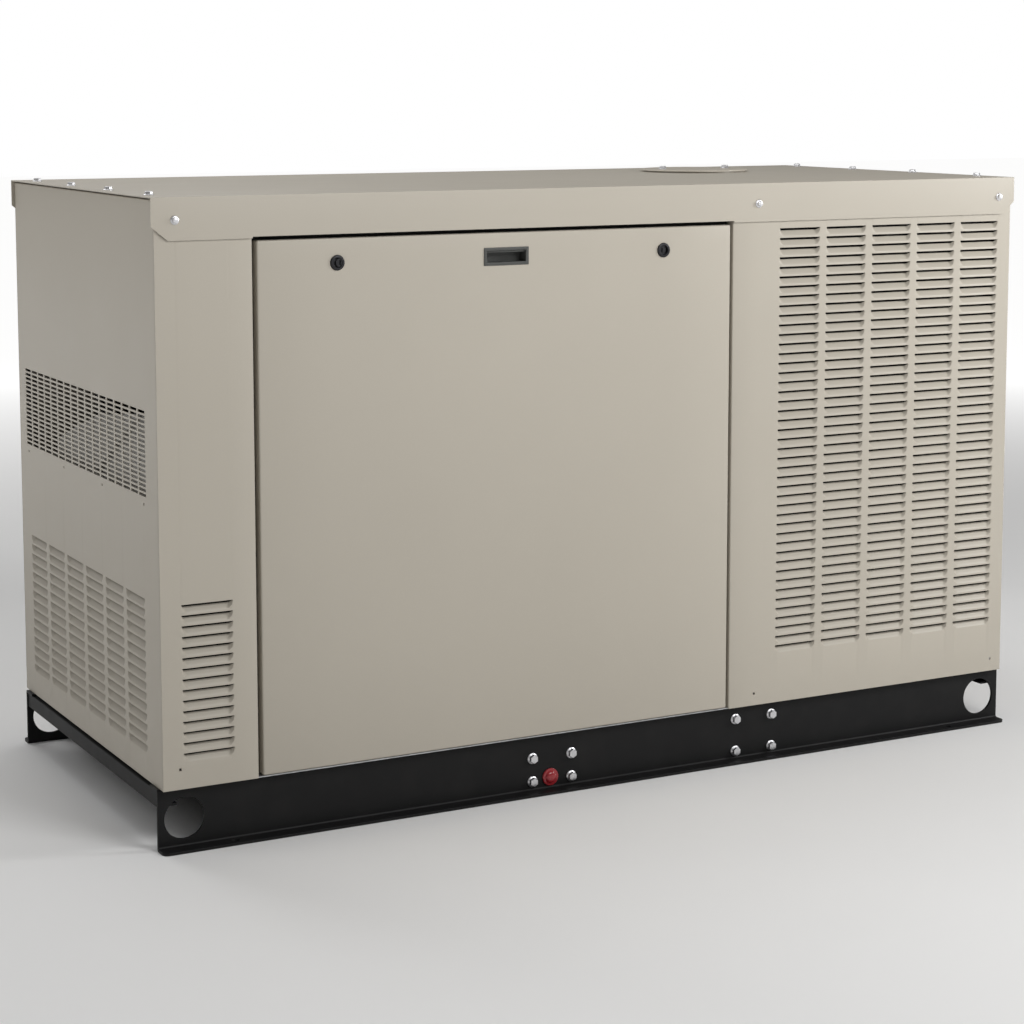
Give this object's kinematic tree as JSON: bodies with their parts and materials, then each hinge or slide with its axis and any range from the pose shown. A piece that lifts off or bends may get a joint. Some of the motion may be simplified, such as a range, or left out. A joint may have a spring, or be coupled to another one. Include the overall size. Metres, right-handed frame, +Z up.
{
  "type": "home standby generator",
  "caption": "Beige sheet-steel standby generator on a black skid, with lift-off doors, louvred panels, a gas engine, alternator, radiator, exhaust, battery and controls inside.",
  "frame": {"origin": "under the middle of the unit, on the ground", "axes": "+X along the unit to the radiator end, front door faces -Y, +Z up"},
  "size_m": [1.88, 0.856, 1.171],
  "materials": {
    "beige": "satin beige powder coat",
    "skid_black": "satin black paint",
    "zinc": "bright zinc plate",
    "galvanised": "galvanised sheet",
    "black_plastic": "fine texture",
    "red_plastic": "smooth",
    "lock_black": "black zinc",
    "cast_iron": "painted casting",
    "aluminium": "sand cast",
    "steel": "machined",
    "rubber": "matt",
    "core": "black fins",
    "exhaust": "aluminised, heat stained",
    "white_steel": "light paint",
    "battery_case": "moulded",
    "filter_can": "gloss paint"
  },
  "bodies": {
    "genset": {"front_rail": "skid_black", "rear_rail": "skid_black", "crossmembers": "skid_black", "drain_cap": "red_plastic", "fasteners": "zinc", "roof": "beige", "radiator_access_cover": "beige", "front_left_panel": "beige", "front_right_panel": "beige", "rear_left_panel": "beige", "rear_right_panel": "beige", "left_end_panel": "beige", "right_end_panel": "beige", "enclosure_frame": "galvanised", "intake_duct": "galvanised", "engine_block": "cast_iron", "oil_pan": "skid_black", "cylinder_head": "aluminium", "valve_cover": "black_plastic", "intake_manifold": "aluminium", "exhaust_manifold": "exhaust", "water_pump": "aluminium", "charging_alternator": "aluminium", "drive_belt": "rubber", "oil_filter": "filter_can", "starter_motor": "steel", "flywheel_housing": "cast_iron", "generator_stator": "white_steel", "vibration_mounts": "rubber", "radiator": "core", "fan_shroud": "black_plastic", "hoses": "rubber", "gas_regulator": "aluminium", "air_cleaner": "black_plastic", "muffler": "exhaust", "exhaust_pipes": "exhaust", "battery_tray": "skid_black", "battery": "battery_case", "battery_leads": "rubber", "control_box": "white_steel"},
    "front_door": {"front_door": "beige", "front_door_fittings": "black_plastic"},
    "front_left_latch": {"front_left_latch": "lock_black"},
    "front_right_latch": {"front_right_latch": "lock_black"},
    "rear_door": {"rear_door": "beige", "rear_door_fittings": "black_plastic"},
    "rear_left_latch": {"rear_left_latch": "lock_black"},
    "rear_right_latch": {"rear_right_latch": "lock_black"},
    "crank_line": {"crankshaft": "steel", "flywheel": "steel", "rotor": "steel"},
    "cooling_fan": {"cooling_fan": "black_plastic"},
    "alternator_pulley": {"alternator_pulley": "steel"},
    "radiator_cap": {"radiator_cap": "zinc"},
    "oil_filler_cap": {"oil_filler_cap": "black_plastic"},
    "dipstick": {"dipstick": "steel"},
    "breaker_toggle": {"breaker_toggle": "black_plastic"},
    "mode_knob": {"mode_knob": "black_plastic"},
    "reset_button": {"reset_button": "red_plastic"}
  },
  "joints": [
    {"name": "front_door_tilt", "type": "hinge", "parent": "genset", "child": "front_door", "pos_m": [-0.2515, -0.414, 0.116], "axis": [1, 0, 0], "range_deg": [0, 25]},
    {"name": "front_left_lock", "type": "hinge", "parent": "front_door", "child": "front_left_latch", "pos_m": [-0.5875, -0.414, 1.034], "axis": [0, -1, 0], "range_deg": [0, 90]},
    {"name": "front_right_lock", "type": "hinge", "parent": "front_door", "child": "front_right_latch", "pos_m": [0.0845, -0.414, 1.034], "axis": [0, 1, 0], "range_deg": [0, 90]},
    {"name": "rear_door_tilt", "type": "hinge", "parent": "genset", "child": "rear_door", "pos_m": [-0.2515, 0.414, 0.116], "axis": [-1, 0, 0], "range_deg": [0, 25]},
    {"name": "rear_left_lock", "type": "hinge", "parent": "rear_door", "child": "rear_left_latch", "pos_m": [-0.5875, 0.414, 1.034], "axis": [0, -1, 0], "range_deg": [0, 90]},
    {"name": "rear_right_lock", "type": "hinge", "parent": "rear_door", "child": "rear_right_latch", "pos_m": [0.0845, 0.414, 1.034], "axis": [0, 1, 0], "range_deg": [0, 90]},
    {"name": "crank_spin", "type": "hinge", "parent": "genset", "child": "crank_line", "pos_m": [0, 0, 0.42], "axis": [1, 0, 0], "continuous": true},
    {"name": "fan_spin", "type": "hinge", "parent": "genset", "child": "cooling_fan", "pos_m": [0.44, 0, 0.61], "axis": [1, 0, 0], "continuous": true},
    {"name": "alternator_spin", "type": "hinge", "parent": "genset", "child": "alternator_pulley", "pos_m": [0.44, -0.185, 0.6], "axis": [1, 0, 0], "continuous": true},
    {"name": "radiator_cap_turn", "type": "hinge", "parent": "genset", "child": "radiator_cap", "pos_m": [0.585, 0.182, 0.956], "axis": [0, 0, 1], "range_deg": [0, 90]},
    {"name": "oil_cap_turn", "type": "hinge", "parent": "genset", "child": "oil_filler_cap", "pos_m": [0.335, 0, 0.814], "axis": [0, 0, 1], "range_deg": [0, 90]},
    {"name": "dipstick_pull", "type": "slide", "parent": "genset", "child": "dipstick", "axis": [0, 0, 1], "range_m": [0, 0.16]},
    {"name": "breaker_throw", "type": "hinge", "parent": "genset", "child": "breaker_toggle", "pos_m": [-0.635, -0.34, 0.935], "axis": [1, 0, 0], "range_deg": [0, 40]},
    {"name": "knob_turn", "type": "hinge", "parent": "genset", "child": "mode_knob", "pos_m": [-0.5, -0.352, 0.905], "axis": [0, -1, 0], "range_deg": [-45, 45]},
    {"name": "reset_press", "type": "slide", "parent": "genset", "child": "reset_button", "axis": [0, 1, 0], "range_m": [0, 0.003], "stiffness_N_per_m": 400}
  ],
  "couplings": [
    {"joint": "fan_spin", "follows": "crank_spin", "ratio": 1.1538},
    {"joint": "alternator_spin", "follows": "crank_spin", "ratio": 2.5}
  ]
}
